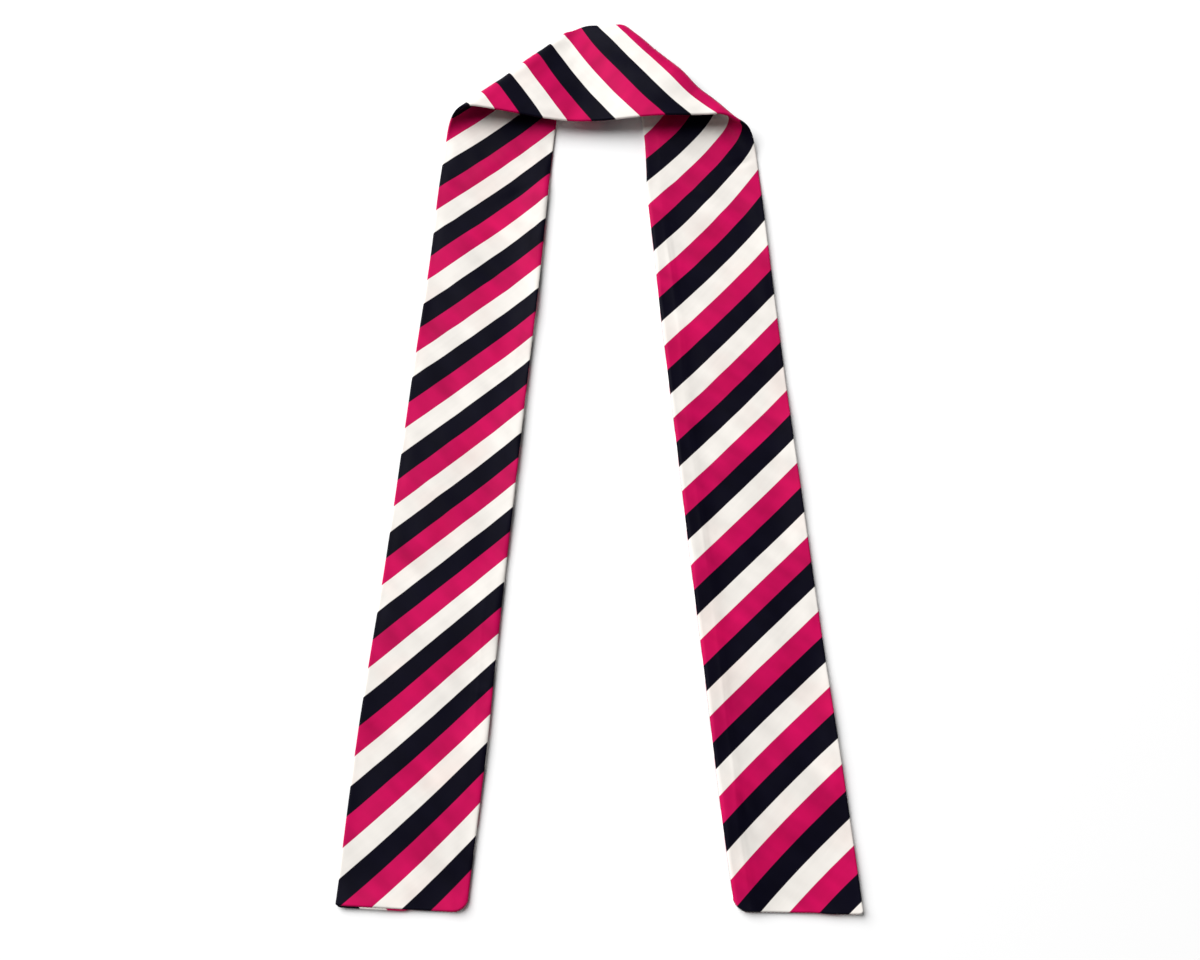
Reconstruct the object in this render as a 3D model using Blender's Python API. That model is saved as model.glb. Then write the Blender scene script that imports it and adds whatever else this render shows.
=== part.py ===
# A long narrow satin scarf, laid flat in an upside-down U, real size, metres, +Z up.
# The scarf is one bias strip folded lengthwise and sewn into a flat tube. Three
# stretches of it show: two tails on the table and the neck band, which is the
# strip turned over at both corners by soft diagonal rolls.
# u runs along the scarf from the left hem over the neck to the right hem.
# v runs across it from the folded edge (outer side of the tails) to the seam.

import math

import bmesh
import bpy
import numpy as np

MM = 0.001

# Finished sizes of the scarf, in millimetres
LENGTH = 1460.7          # hem to hem along the folded edge
WIDTH = 88.0             # folded edge to seam
LAYER = 1.05             # one layer of cloth, seam bulk shared over it
SLIT = 0.30              # gap between the two layers, open at seam and hems
NODE_GAP = 0.30          # gap where two stretches meet
HALF = LAYER + SLIT / 2  # mid surface to the cloth's outer face
HEM_BACK = 34.0          # where the hem's own rows end

# The tails as they lie: outer corner of the hem, direction of the folded edge,
# how much the tail narrows upward, skew of the hem, radii of its two corners and
# how far the outer third of the hem hangs lower
TAILS = {
    #         x         y        angle   narrows  skew  seam_r  fold_r  droop
    "left": (-181.2, -304.7, 84.27, 0.0692, 4.1, 9.5, 1.6, 0.0),
    "right": (178.842, -310.793, 95.417, -0.0414, 8.8, 9.5, 3.0, 1.0),
}
TAPER_LENGTH = 600.0

# Slow drift of a tail's two edges from straight, toward the seam side
DRIFT = {
    #         from_hem  fold  seam
    "left": ((0.0, 0.1, -1.1), (35.0, -0.9, -0.7), (75.0, -1.65, 0.0),
             (120.0, -1.95, 0.6), (170.0, -1.3, 0.1), (230.0, -0.15, -0.15),
             (290.0, 0.2, 0.15), (350.0, 0.0, 0.4), (410.0, 0.05, 0.65),
             (460.0, 0.6, 1.45), (500.0, 0.5, 1.9), (540.0, -0.5, 1.3),
             (580.0, 0.0, 0.3), (620.0, 0.0, 0.0)),
    "right": ((0.0, -1.25, -0.5), (35.0, -1.35, 0.3), (75.0, -1.1, 0.95),
              (120.0, -0.5, 1.05), (170.0, 0.35, 0.9), (230.0, 0.8, 1.1),
              (290.0, 1.05, 1.15), (350.0, 1.35, 0.95), (410.0, 1.25, 1.05),
              (460.0, 0.85, 1.05), (500.0, 0.4, 0.4), (540.0, 0.0, 0.0),
              (580.0, 0.0, 0.0), (620.0, 0.0, 0.0)),
}

# The corner rolls: tip of the cone the cloth turns over, direction from the tip
# along the line where the cloth leaves the table, and the cone's half angle
ROLLS = {
    #          x       y     angle     half
    "left": (-10.97, 391.13, 225.21, 4.20),
    "right": (-21.14, 422.13, -47.68, 3.735),
}

# Middle of the neck band and how far the two sides blend there
NECK_MIDDLE = 713.0
NECK_BLEND_FOLD = 72.0
NECK_BLEND_SEAM = 28.0

# The neck's upper edge is a little fuller where the halves meet: place along,
# most height in the plan, half length
NECK_FULL = (714.0, 4.8, 18.0)

# Mean of the three stripe colours: magenta, near-black navy and ivory
STRIPES = ((0.63, 0.008, 0.107), (0.006, 0.006, 0.014), (0.95, 0.93, 0.89))
MEAN_COLOUR = tuple(sum(c[i] for c in STRIPES) / len(STRIPES) for i in range(3))

# Rows across the strip, as shares of the width
ACROSS = (0.06, 0.20, 0.38, 0.56, 0.72, 0.84, 0.90, 0.95, 0.98)
ROWS_FLAT = 7
ROWS_TAIL = 12
ROWS_FAN = 5
ROWS_ROLL = 7
ROWS_NECK = 26


def unit(degrees):
    """Unit vector in the plan at an angle from +X."""
    a = math.radians(degrees)
    return np.array([math.cos(a), math.sin(a)])


def on_tail(side, along, across):
    """Plan point of a tail that is taken to run on straight past its roll."""
    x, y, angle, narrows = TAILS[side][:4]
    turn = -90.0 if side == "left" else 90.0
    wide = across * (1.0 - narrows * (along / TAPER_LENGTH - 0.5))
    from_hem, fold, seam = zip(*DRIFT[side])
    share = across / WIDTH
    wide += (1.0 - share) * np.interp(along, from_hem, fold)
    wide += share * np.interp(along, from_hem, seam)
    return np.array([x, y]) + along * unit(angle) + wide * unit(angle + turn)


def turned_over(side, plan):
    """Lead a plan point over the corner's cone; returns the point in space."""
    x, y, angle, half = ROLLS[side]
    half = math.radians(half)
    e = unit(angle)
    n = unit(angle - 90.0 if side == "left" else angle + 90.0)
    q = plan - np.array([x, y])
    far = math.hypot(q[0], q[1])
    swing = math.atan2(float(q @ n), float(q @ e))
    full = math.pi * math.sin(half)
    out = np.array([n[0], n[1], 0.0])
    if swing <= 0.0:
        p = np.array([q[0], q[1], 0.0])
    elif swing < full:
        round_ = swing / math.sin(half)
        axis = np.array([e[0] * math.cos(half), e[1] * math.cos(half), math.sin(half)])
        down = np.array([e[0] * math.sin(half), e[1] * math.sin(half), -math.cos(half)])
        p = far * (math.cos(half) * axis
                   + math.sin(half) * (math.cos(round_) * down + math.sin(round_) * out))
    else:
        top = np.array([e[0] * math.cos(2 * half), e[1] * math.cos(2 * half),
                        math.sin(2 * half)])
        past = swing - full
        p = far * (math.cos(past) * top - math.sin(past) * out)
    return p + np.array([x, y, HALF])


def ease(x):
    x = min(max(x, 0.0), 1.0)
    return x * x * x * (x * (6.0 * x - 15.0) + 10.0)


def fullness(u, v):
    """How far the cloth is eased upward in the plan near the neck's upper edge."""
    place, most, long_ = NECK_FULL
    near = min(max((v / WIDTH - 0.35) / 0.65, 0.0), 1.0) ** 2
    return most * near * max(1.0 - ((u - place) / long_) ** 2, 0.0) ** 2


def mid_surface(u, v):
    """The scarf's middle surface: each half rolls over its own corner."""
    reach = NECK_BLEND_FOLD + (NECK_BLEND_SEAM - NECK_BLEND_FOLD) * v / WIDTH
    share = ease((u - NECK_MIDDLE + reach) / (2.0 * reach))
    point = np.zeros(3)
    if share < 1.0:
        point += (1.0 - share) * turned_over("left", on_tail("left", u, v))
    if share > 0.0:
        point += share * turned_over("right", on_tail("right", LENGTH - u, v))
    point[1] += fullness(u, v)
    return point


def surface_normal(u, v, step=0.6):
    """Normal on the face that looks up on the tails."""
    a = mid_surface(u + step, v) - mid_surface(u - step, v)
    b = mid_surface(u, v + step) - mid_surface(u, v - step)
    n = np.cross(b, a)
    return n / np.linalg.norm(n)


def ruling(side, share, v):
    """Distance from the hem to a line over the roll, 0 where it leaves the
    table, 1 where it lies on top, at a place across the strip."""
    x, y, angle, half = ROLLS[side]
    swing = share * math.degrees(math.pi * math.sin(math.radians(half)))
    line = unit(angle - swing if side == "left" else angle + swing)
    low, high = 0.0, LENGTH
    aim = 1.0 if side == "left" else -1.0
    for _ in range(50):
        middle = 0.5 * (low + high)
        q = on_tail(side, middle, v) - np.array([x, y])
        beyond = aim * (line[1] * q[0] - line[0] * q[1])
        if beyond > 0.0:
            high = middle
        else:
            low = middle
    return 0.5 * (low + high)


def hem_line(side, v):
    """Distance of the hem from its outer corner, with both corners rounded."""
    skew, seam_r, fold_r, droop = TAILS[side][4:]
    back = skew * v / WIDTH + droop * ease((v - 18.0) / 20.0)
    to_seam = WIDTH - v
    if to_seam < seam_r:
        back += seam_r - math.sqrt(max(seam_r ** 2 - (seam_r - to_seam) ** 2, 0.0))
    if v < fold_r:
        back += fold_r - math.sqrt(max(fold_r ** 2 - (fold_r - v) ** 2, 0.0))
    return back


def cloth_ring():
    """Cut through the folded cloth as (v, offset) pairs: its outer face from the
    seam round the folded edge and back, then its inner face, pair by pair."""
    rows = [share * WIDTH for share in ACROSS]
    turns = [math.radians(a) for a in (90, 135, 180, 225, 270)]
    gap = SLIT / 2
    outer = [(WIDTH, HALF - 0.5), (WIDTH - 0.5, HALF)]
    outer += [(v, HALF) for v in reversed(rows)]
    outer += [(HALF + HALF * math.cos(a), HALF * math.sin(a)) for a in turns]
    outer += [(v, -HALF) for v in rows]
    outer += [(WIDTH - 0.5, -HALF), (WIDTH, 0.5 - HALF)]
    inner = [(WIDTH, gap), (WIDTH - 0.5, gap)]
    inner += [(v, gap) for v in reversed(rows)]
    inner += [(HALF + gap * math.cos(a), gap * math.sin(a)) for a in turns]
    inner += [(v, -gap) for v in rows]
    inner += [(WIDTH - 0.5, -gap), (WIDTH, -gap)]
    return outer, inner


def stretch_rows(name):
    """Rows along one stretch; each is a function from v to the distance u."""
    slack = NODE_GAP / 2 / math.sin(math.radians(47.0))
    if name in TAILS:
        rows = []
        for i in range(ROWS_FLAT + 1):
            s = (i / ROWS_FLAT) ** 1.6
            rows.append(lambda v, s=s: hem_line(name, v) * (1.0 - s) + HEM_BACK * s)
        for i in range(1, ROWS_TAIL + 1):
            s = i / ROWS_TAIL
            rows.append(lambda v, s=s: HEM_BACK + (500.0 - HEM_BACK) * s)
        for i in range(1, ROWS_FAN + 1):
            s = i / ROWS_FAN
            rows.append(lambda v, s=s: (1.0 - s) * 500.0 + s * ruling(name, 0.0, v))
        for i in range(1, ROWS_ROLL + 1):
            s = 0.5 * i / ROWS_ROLL
            back = slack if i == ROWS_ROLL else 0.0
            rows.append(lambda v, s=s, b=back: ruling(name, s, v) - b)
        if name == "right":
            rows = [lambda v, r=r: LENGTH - r(v) for r in reversed(rows)]
        return rows
    rows = []
    for i in range(ROWS_ROLL + 1):
        s = 0.5 + 0.5 * i / ROWS_ROLL
        on = slack if i == 0 else 0.0
        rows.append(lambda v, s=s, b=on: ruling("left", s, v) + b)
    for i in range(1, ROWS_NECK):
        s = i / ROWS_NECK
        rows.append(lambda v, s=s: (1.0 - s) * ruling("left", 1.0, v)
                    + s * (LENGTH - ruling("right", 1.0, v)))
    for i in range(ROWS_ROLL, -1, -1):
        s = 0.5 + 0.5 * i / ROWS_ROLL
        on = slack if i == 0 else 0.0
        rows.append(lambda v, s=s, b=on: LENGTH - ruling("right", s, v) - b)
    return rows


def build_stretch(name, colour, collection):
    """Loft one stretch of the folded cloth through its rows."""
    outer, inner = cloth_ring()
    ring = outer + inner[::-1]
    bm = bmesh.new()
    loops = []
    for row in stretch_rows(name):
        loop = []
        for v, offset in ring:
            u = row(v)
            p = mid_surface(u, v) + offset * surface_normal(u, v)
            loop.append(bm.verts.new(p * MM))
        loops.append(loop)
    count = len(ring)
    for a, b in zip(loops, loops[1:]):
        for i in range(count):
            j = (i + 1) % count
            bm.faces.new((a[i], b[i], b[j], a[j]))
    for end in (loops[0], loops[-1]):
        for i in range(len(outer) - 1):
            bm.faces.new((end[i], end[i + 1], end[-2 - i], end[-1 - i]))
    bmesh.ops.triangulate(bm, faces=bm.faces[:], quad_method="SHORT_EDGE",
                          ngon_method="EAR_CLIP")
    bmesh.ops.recalc_face_normals(bm, faces=bm.faces[:])
    mesh = bpy.data.meshes.new(name)
    bm.to_mesh(mesh)
    bm.free()
    mesh.shade_smooth()
    mesh.set_sharp_from_angle(angle=math.radians(40.0))
    mesh.materials.append(satin(name, colour))
    obj = bpy.data.objects.new(name, mesh)
    collection.objects.link(obj)
    return obj


def satin(name, colour):
    """Plain satin in one of the stripe colours."""
    material = bpy.data.materials.new(name + "_satin")
    material.use_nodes = True
    shader = material.node_tree.nodes["Principled BSDF"]
    shader.inputs["Base Color"].default_value = (*colour, 1.0)
    shader.inputs["Roughness"].default_value = 0.42
    shader.inputs["Metallic"].default_value = 0.0
    return material


def centre_on_plan(objects):
    """Move the meshes so that the scarf's box stands on the origin."""
    points = np.array([v.co[:] for o in objects for v in o.data.vertices])
    low, high = points.min(axis=0), points.max(axis=0)
    shift = np.array([-(low[0] + high[0]) / 2, -(low[1] + high[1]) / 2, -low[2]])
    for o in objects:
        for v in o.data.vertices:
            v.co = v.co.copy() + type(v.co)(shift)
    print("box", (high - low).round(4), "shift", shift.round(5))


for old in list(bpy.data.objects):
    bpy.data.objects.remove(old, do_unlink=True)
scarf = bpy.data.collections.new("striped_satin_scarf")
bpy.context.scene.collection.children.link(scarf)

STRETCHES = {"left_tail": "left", "neck_band": "neck", "right_tail": "right"}
pieces = []
for node, stretch in STRETCHES.items():
    piece = build_stretch(stretch, MEAN_COLOUR, scarf)
    piece.name = node
    piece.data.name = node
    pieces.append(piece)
centre_on_plan(pieces)
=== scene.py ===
# %% [markdown]
# # A striped satin scarf, laid out flat
#
# This lesson dresses a measured scarf. The real one is a single strip of striped
# satin, cut on the bias, folded lengthwise, sewn into a flat tube and pressed. It
# lies in an upside-down U: two long tails, and a neck band that is the same strip
# turned over at both corners by soft rolls. The frame file holds its plain solids,
# so this script starts by opening them and keeping their box.

# %% Open the measured scarf
import math

import bpy
import numpy as np
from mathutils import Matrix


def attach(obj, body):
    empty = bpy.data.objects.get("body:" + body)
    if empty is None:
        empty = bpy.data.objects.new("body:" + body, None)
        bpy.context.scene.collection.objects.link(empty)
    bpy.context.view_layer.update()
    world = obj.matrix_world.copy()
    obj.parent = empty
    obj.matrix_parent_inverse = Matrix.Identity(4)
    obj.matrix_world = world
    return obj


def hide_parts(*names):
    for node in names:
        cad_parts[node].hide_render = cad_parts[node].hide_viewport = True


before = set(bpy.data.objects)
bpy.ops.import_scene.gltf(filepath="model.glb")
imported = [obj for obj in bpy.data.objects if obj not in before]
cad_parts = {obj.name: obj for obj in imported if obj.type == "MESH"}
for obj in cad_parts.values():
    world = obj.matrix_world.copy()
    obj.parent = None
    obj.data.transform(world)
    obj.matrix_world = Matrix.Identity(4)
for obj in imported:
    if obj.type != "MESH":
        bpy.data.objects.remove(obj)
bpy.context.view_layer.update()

# %% [markdown]
# ## The camera
#
# A photographer would stand over the table and look almost straight down. The two
# tails are a little wider at the hems than at the neck, and that tells the tilt:
# about 17 degrees from straight down, a good metre away, through a 45 mm lens.

# %% Camera over the table
MM = 0.001
TO_CENTRE = (0.00059, -0.03696, 0.0)  # from the sewing plan's zero to the box's
TILT = math.radians(16.615)
STAND_OFF = 1.11626

camera_data = bpy.data.cameras.new("table_camera")
camera_data.sensor_width = 36.0
camera_data.lens = 45.0
camera = bpy.data.objects.new("table_camera", camera_data)
camera.location = (TO_CENTRE[0], TO_CENTRE[1] - STAND_OFF * math.sin(TILT),
                   STAND_OFF * math.cos(TILT))
camera.rotation_euler = (TILT, 0.0, 0.0)
bpy.context.scene.collection.objects.link(camera)
bpy.context.scene.camera = camera
print("camera", round(math.degrees(TILT), 1), "degrees from straight down")

# %% [markdown]
# ## Table and light
#
# A product photograph of this kind is taken on a white table with one large soft
# light. It stands well away on the upper left and half way up, so the cloth gets a
# soft shadow on its lower right. The wider the light, the softer the shadow: this one
# is wider than it is far away, and its shadows fade out over about a centimetre. The
# table is lit until it is pure white. The room itself is dim, so the dark satin has
# little to mirror and the hollow under the neck stays deep. The colours are shown
# without a film look, so a white table stays white.

# %% White table
bpy.context.scene.view_settings.view_transform = "Standard"


def plain_material(name, colour, roughness):
    """A matt material of one colour, without any gloss."""
    material = bpy.data.materials.new(name)
    material.use_nodes = True
    shader = material.node_tree.nodes["Principled BSDF"]
    shader.inputs["Base Color"].default_value = (*colour, 1.0)
    shader.inputs["Roughness"].default_value = roughness
    shader.inputs["Specular IOR Level"].default_value = 0.0
    return material


TABLE_REACH = 30.0     # metres, so wide that it fades into the room before it ends
TABLE_BELOW = 0.0002   # metres, so that cloth and table never share a plane
table_mesh = bpy.data.meshes.new("table_top")
table_mesh.from_pydata([(x * TABLE_REACH, y * TABLE_REACH, 0)
                        for x, y in ((-1, -1), (1, -1), (1, 1), (-1, 1))], [],
                       [(0, 1, 2, 3)])
table_mesh.materials.append(plain_material("white_table", (0.98, 0.98, 0.98), 1.0))
table = bpy.data.objects.new("table_top", table_mesh)
table.location.z = -TABLE_BELOW
bpy.context.scene.collection.objects.link(table)
print("table", table.name)

# %% Large soft light
LIGHT_TOWARD = np.array([-0.55, 0.47, 0.69])   # the upper left, 44 degrees up
LIGHT_AWAY = 8.5        # metres
LIGHT_ACROSS = 9.6      # metres
LIGHT_POWER = 1335.0    # watts
ROOM_LIGHT = 0.12


def soft_light():
    """A round soft box that faces the scarf from far away."""
    data = bpy.data.lights.new("soft_box", "AREA")
    data.shape = "DISK"
    data.size = LIGHT_ACROSS
    data.energy = LIGHT_POWER
    lamp = bpy.data.objects.new("soft_box", data)
    toward = LIGHT_TOWARD / np.linalg.norm(LIGHT_TOWARD)
    lamp.location = (toward * LIGHT_AWAY).tolist()
    lamp.rotation_euler = (math.acos(toward[2]), 0.0,
                           math.atan2(toward[1], toward[0]) + math.pi / 2.0)
    bpy.context.scene.collection.objects.link(lamp)


def dim_room():
    """A dim grey room round the table."""
    world = bpy.data.worlds.new("studio")
    world.use_nodes = True
    background = world.node_tree.nodes["Background"]
    background.inputs["Color"].default_value = (1, 1, 1, 1)
    background.inputs["Strength"].default_value = ROOM_LIGHT
    return world


soft_light()
bpy.context.scene.world = dim_room()
print("soft light", LIGHT_ACROSS, "m across at", LIGHT_AWAY, "m")

# %% [markdown]
# ## The lay of the strip
#
# Every point of the scarf has two numbers: u, how far it is along the strip from
# the left hem, and v, how far it is across from the folded edge to the seam. The
# tails are straight lines on the table. At each corner the strip runs up over a
# slim cone, whose tip lies beyond the seam side, so the roll is fat at the folded
# edge and tight at the seam. Leading a flat point over a cone does not stretch it,
# so the cloth keeps its true size. The two halves blend in the middle of the neck.
# Three small changes then do what hands did: the edges drift up to three millimetres
# from straight, the cloth is eased upward in the middle of the neck, and the right
# roll is pressed slimmer half way down.

# %% Sizes of the strip, in millimetres
LENGTH = 1460.7
WIDTH = 88.0
MIDDLE_HEIGHT = 1.2     # of the strip's middle surface where it lies on the table
ON_TABLE = 0.05         # nothing sinks lower than this
HEM_BACK = 34.0         # how far from a hem its slant and round corners still show
TAPER_LENGTH = 600.0    # along this much of a tail its width changes by the share below
TAILS = {
    # hem's corner at the fold, heading, share it narrows, then the hem: how far it
    # slants back, the radius of its corners at seam and fold, how far it droops
    #         x         y        angle   narrows  skew  seam_r  fold_r  droop
    "left": (-181.2, -304.7, 84.27, 0.0692, 4.1, 9.5, 1.6, 0.0),
    "right": (178.842, -310.793, 95.417, -0.0414, 8.8, 9.5, 3.0, 1.0),
}
# slow drift of a tail's two edges from straight, toward the seam side
DRIFT = {
    #                  from_hem  fold  seam
    "left": np.array([(0.0, 0.1, -1.1), (35.0, -0.9, -0.7), (75.0, -1.65, 0.0),
                      (120.0, -1.95, 0.6), (170.0, -1.3, 0.1), (230.0, -0.15, -0.15),
                      (290.0, 0.2, 0.15), (350.0, 0.0, 0.4), (410.0, 0.05, 0.65),
                      (460.0, 0.6, 1.2), (500.0, 0.5, 1.1), (540.0, -0.6, 0.6),
                      (580.0, -0.4, 0.3), (620.0, 0.0, 0.6), (660.0, 0.0, 0.0)]),
    "right": np.array([(0.0, -1.25, -0.5), (35.0, -1.35, 0.3), (75.0, -1.1, 0.95),
                       (120.0, -0.5, 1.05), (170.0, 0.35, 0.9), (230.0, 0.8, 1.1),
                       (290.0, 1.05, 1.15), (350.0, 1.35, 0.95), (410.0, 1.25, 1.05),
                       (460.0, 0.85, 1.05), (500.0, 0.4, 0.4), (530.0, 0.1, 0.4),
                       (558.0, -0.2, 0.0), (580.0, -0.4, -1.8), (605.0, 0.0, -3.1),
                       (625.0, 0.0, -2.4), (660.0, 0.0, 0.0)]),
}
DRIFT_ENDS = 655.0      # beyond this, under the rolls, the drift stays as it is
ROLLS = {
    # tip of each corner's cone, heading of its axis, half its opening angle
    #          x       y     angle     half
    "left": (-10.97, 391.13, 225.21, 4.20),
    "right": (-21.14, 422.13, -47.68, 3.735),
}
NECK_MIDDLE = 713.0
NECK_BLEND_FOLD = 72.0  # half the length over which the two halves blend at the fold
NECK_BLEND_SEAM = 28.0  # and at the seam
NECK_FULL = (712.8, 4.5, 23.8)     # place along, most height, half length
ROLL_DRAWN_IN = {"left": 0.0, "right": 3.5}
DRAWN_FROM, DRAWN_UNTIL = 114.0, 180.0        # distances from the cone's tip

# %% Reading a table along a smooth curve


def smooth_table(table, column, x):
    """Read a column between its rows along a smooth curve."""
    xs, ys = table[:, 0], table[:, column]
    slope = np.gradient(ys, xs)
    i = np.clip(np.searchsorted(xs, x) - 1, 0, len(xs) - 2)
    w = xs[i + 1] - xs[i]
    t = np.clip((x - xs[i]) / w, -0.2, 1.2)
    return ((1 + 2 * t) * (1 - t) ** 2 * ys[i] + t * (1 - t) ** 2 * w * slope[i]
            + t * t * (3 - 2 * t) * ys[i + 1] + t * t * (t - 1) * w * slope[i + 1])


print("left edge drifts by", smooth_table(DRIFT["left"], 1, np.array([120.0])), "mm")

# %% From the flat strip to the laid scarf


def unit(degrees):
    """A step of length one in the plan, toward an angle from the x axis."""
    a = math.radians(degrees)
    return np.array([math.cos(a), math.sin(a)])


def on_tail(side, along, across):
    """Plan points of a tail that is taken to run on straight past its roll."""
    x, y, angle, narrows = TAILS[side][:4]
    turn = -90.0 if side == "left" else 90.0
    wide = across * (1.0 - narrows * (along / TAPER_LENGTH - 0.5))
    share, near = across / WIDTH, np.clip(along, 0.0, DRIFT_ENDS)
    wide = wide + (1.0 - share) * smooth_table(DRIFT[side], 1, near)
    wide = wide + share * smooth_table(DRIFT[side], 2, near)
    return (np.array([x, y]) + along[..., None] * unit(angle)
            + wide[..., None] * unit(angle + turn))


def ease(x):
    """Go smoothly from 0 to 1 while x does."""
    x = np.clip(x, 0.0, 1.0)
    return x * x * x * (x * (6.0 * x - 15.0) + 10.0)


def turned_over(side, plan):
    """Lead plan points over the corner's cone."""
    x, y, angle, half = ROLLS[side]
    half = math.radians(half)
    e = unit(angle)
    n = unit(angle - 90.0 if side == "left" else angle + 90.0)
    q = plan - np.array([x, y])
    far = np.hypot(q[..., 0], q[..., 1])[..., None]
    swing = np.arctan2(q @ n, q @ e)[..., None]
    full = math.pi * math.sin(half)
    out = np.array([n[0], n[1], 0.0])
    axis = np.array([e[0] * math.cos(half), e[1] * math.cos(half), math.sin(half)])
    down = np.array([e[0] * math.sin(half), e[1] * math.sin(half), -math.cos(half)])
    top = np.array([e[0] * math.cos(2 * half), e[1] * math.cos(2 * half),
                    math.sin(2 * half)])
    flat = np.concatenate([q, 0.0 * far], -1)
    turn = np.clip(swing / math.sin(half), 0.0, math.pi)
    cone = far * (math.cos(half) * axis
                  + math.sin(half) * (np.cos(turn) * down + np.sin(turn) * out))
    past = swing - full
    over = far * (np.cos(past) * top - np.sin(past) * out)
    p = np.where(swing <= 0.0, flat, np.where(swing < full, cone, over))
    share = swing / full
    # the outside of the roll, and the middle of its length, are drawn in
    round_ = ease((share - 0.15) / 0.5) * (1 - ease((share - 1.0) / 1.4))
    drawn = ROLL_DRAWN_IN[side] * round_ * ease((far - DRAWN_FROM) / 36.0) \
        * (1 - ease((far - DRAWN_UNTIL) / 20.0))
    p = p - drawn * (np.cos(turn) * down + np.sin(turn) * out)
    return p + np.array([x, y, MIDDLE_HEIGHT])


def fullness(u, v):
    """How far the cloth is eased upward in the plan near the neck's upper edge."""
    place, most, long_ = NECK_FULL
    near = np.clip((v / WIDTH - 0.35) / 0.65, 0.0, 1.0) ** 2
    return most * near * np.clip(1.0 - ((u - place) / long_) ** 2, 0.0, 1.0) ** 2


def mid_surface(u, v):
    """The scarf's middle surface, in millimetres of the sewing plan."""
    reach = NECK_BLEND_FOLD + (NECK_BLEND_SEAM - NECK_BLEND_FOLD) * v / WIDTH
    share = ease((u - NECK_MIDDLE + reach) / (2.0 * reach))[..., None]
    point = ((1.0 - share) * turned_over("left", on_tail("left", u, v))
             + share * turned_over("right", on_tail("right", LENGTH - u, v)))
    point[..., 1] += fullness(u, v)
    return point


def surface_normal(u, v, step=0.6):
    """Normal on the face that looks up on the tails."""
    a = mid_surface(u + step, v) - mid_surface(u - step, v)
    b = mid_surface(u, v + step) - mid_surface(u, v - step)
    n = np.cross(b, a)
    return n / np.linalg.norm(n, axis=-1, keepdims=True)


def hem_line(side, v):
    """How far the hem lies from its outer corner, both corners rounded."""
    skew, seam_r, fold_r, droop = TAILS[side][4:]
    back = skew * v / WIDTH + droop * ease((v - 18.0) / 20.0)
    s = np.clip(seam_r - (WIDTH - v), 0.0, seam_r)
    back = back + seam_r - np.sqrt(seam_r ** 2 - s ** 2)
    s = np.clip(fold_r - v, 0.0, fold_r)
    return back + fold_r - np.sqrt(fold_r ** 2 - s ** 2)


print("strip", LENGTH, "x", WIDTH, "mm; neck edge stands",
      mid_surface(np.array([820.0]), np.array([0.0]))[0, 2].round(1), "mm high")

# %% [markdown]
# ## The stripes
#
# The stripes are woven straight, and the strip is cut across them at about 45
# degrees. On the flat tube they wind round like a barber's pole: rising toward the
# seam on one face and toward the fold on the other. Bias cloth stretches easily, so
# their pitch and slant drift a little along the scarf. The table says, at stations
# along the strip, which stripe meets the folded edge (three stripes count 1), and
# how many repeats the slant drops by the middle and by the seam. On the outside of
# the right roll the cloth is also stretched a little, which draws the stripes
# together beside its crest.

# %% Stripe plan
STRIPE_PLAN = np.array([
    # along    at fold  to middle  to seam
    (   0.0,    0.394,    0.750,    1.546),
    ( 100.0,    1.982,    0.782,    1.650),
    ( 200.0,    3.586,    0.758,    1.563),
    ( 300.0,    5.249,    0.712,    1.464),
    ( 400.0,    6.881,    0.664,    1.378),
    ( 500.0,    8.541,    0.663,    1.354),
    ( 570.0,    9.711,    0.636,    1.353),
    ( 600.0,   10.201,    0.629,    1.340),
    ( 630.0,   10.696,    0.628,    1.315),
    ( 660.0,   11.204,    0.627,    1.286),
    ( 690.0,   11.725,    0.615,    1.258),
    ( 720.0,   12.242,    0.603,    1.236),
    ( 750.0,   12.767,    0.622,    1.231),
    ( 780.0,   13.276,    0.675,    1.292),
    ( 805.0,   13.688,    0.729,    1.352),
    ( 830.0,   14.086,    0.789,    1.408),
    ( 850.0,   14.383,    0.827,    1.437),
    ( 870.0,   14.683,    0.795,    1.414),
    ( 900.0,   15.132,    0.733,    1.368),
    ( 930.0,   15.572,    0.690,    1.321),
    ( 960.0,   16.040,    0.663,    1.281),
    (1060.0,   17.690,    0.639,    1.248),
    (1160.0,   19.420,    0.623,    1.243),
    (1260.0,   21.200,    0.611,    1.237),
    (1360.0,   23.023,    0.604,    1.250),
    (1460.0,   24.812,    0.615,    1.280),
])


CREST_AT_FOLD = 849.0    # u where the right roll's crest meets the fold
CREST_RUN = -93.0        # and how far it has gone from there at the seam
CREST_PULL = 0.12        # repeats that the stretched bias gives at the crest
CREST_REACH = 20.0       # millimetres on either side of it


def crest_pull(u, v, under):
    """How far the stripes are drawn together on the outside of the right roll."""
    away = (u - CREST_AT_FOLD - CREST_RUN * v) / CREST_REACH
    return CREST_PULL * under * ease((v - 0.40) / 0.50) * np.exp(-away ** 2)


def stripe_count(u, signed_v):
    """Repeats of the stripe at a point; signed_v is below 0 on the under face."""
    v = np.abs(signed_v) / WIDTH
    middle = smooth_table(STRIPE_PLAN, 2, u)
    seam = smooth_table(STRIPE_PLAN, 3, u)
    # a parabola from 0 at the fold, through the middle's drop, to the seam's
    drop = v * (4.0 * middle - seam) + v * v * (2.0 * seam - 4.0 * middle)
    return smooth_table(STRIPE_PLAN, 1, u) - np.sign(signed_v) * drop \
        + crest_pull(u, v, signed_v < 0.0)


print("about", round(float(stripe_count(np.array([LENGTH]), np.array([1e-6]))[0]), 1),
      "repeats from hem to hem")

# %% [markdown]
# ## Relief of the cloth
#
# Pressed satin is never quite flat. The seam allowances show through as a low step
# along the seam side, the tube is a little puffed, and soft drags run across it
# where it was handled. Smooth noise gives the puffiness; the drags are listed in a
# short table, on both faces. The edges and the hems also stand a millimetre or two
# off the table, and it is this lift that casts their soft shadow.

# %% Smooth noise


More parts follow.
